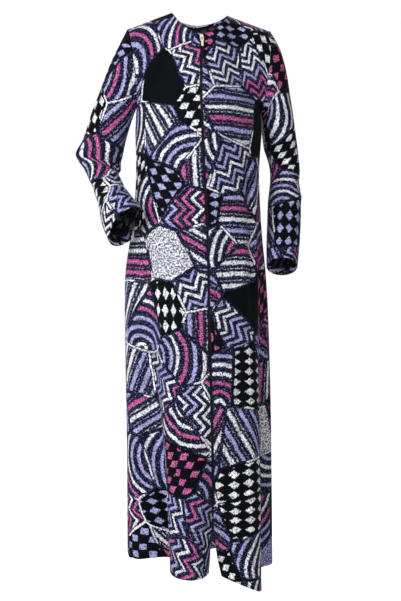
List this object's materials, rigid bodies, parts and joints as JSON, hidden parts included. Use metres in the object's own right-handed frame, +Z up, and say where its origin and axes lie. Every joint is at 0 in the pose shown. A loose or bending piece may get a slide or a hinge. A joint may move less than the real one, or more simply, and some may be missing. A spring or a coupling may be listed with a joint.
{
  "type": "abaya",
  "caption": "Long straight zip-front robe with a round neck and set-in sleeves, hollow as worn, one sleeve bent forward, open at neck, cuffs, hem and front slit.",
  "frame": {"origin": "midway between the two high shoulder points, where the shoulder seams meet the neck", "axes": "+Z up towards the neck, -Y out of the front, +X towards the wearer's left side"},
  "size_m": [0.5966, 0.3414, 1.4623],
  "materials": {
    "printed_crepe": "matt crepe with a chalky print",
    "zip_tape": "woven black tape",
    "zip_metal": "pale polished plating"
  },
  "bodies": {
    "garment": {"front_right_hem": "printed_crepe", "front_right_skirt": "printed_crepe", "front_right_waist": "printed_crepe", "front_right_bodice": "printed_crepe", "front_left_hem": "printed_crepe", "front_left_skirt": "printed_crepe", "front_left_waist": "printed_crepe", "front_left_bodice": "printed_crepe", "back_hem": "printed_crepe", "back_skirt": "printed_crepe", "back_waist": "printed_crepe", "back_bodice": "printed_crepe", "sleeve_right": "printed_crepe", "sleeve_left": "printed_crepe", "zip_tape_right": "zip_tape", "zip_tape_left": "zip_tape", "zip_slider": "zip_metal", "zip_top_stop_right": "zip_metal", "zip_top_stop_left": "zip_metal", "zip_bottom_stop": "zip_metal"},
    "pull_tab": {"zip_pull_tab": "zip_metal"}
  },
  "joints": [
    {"name": "pull_tab_flip", "type": "hinge", "parent": "garment", "child": "pull_tab", "pos_m": [-0.00457, -0.0745, -0.07819], "axis": [-1, 0, 0], "range_deg": [0, 150]}
  ]
}
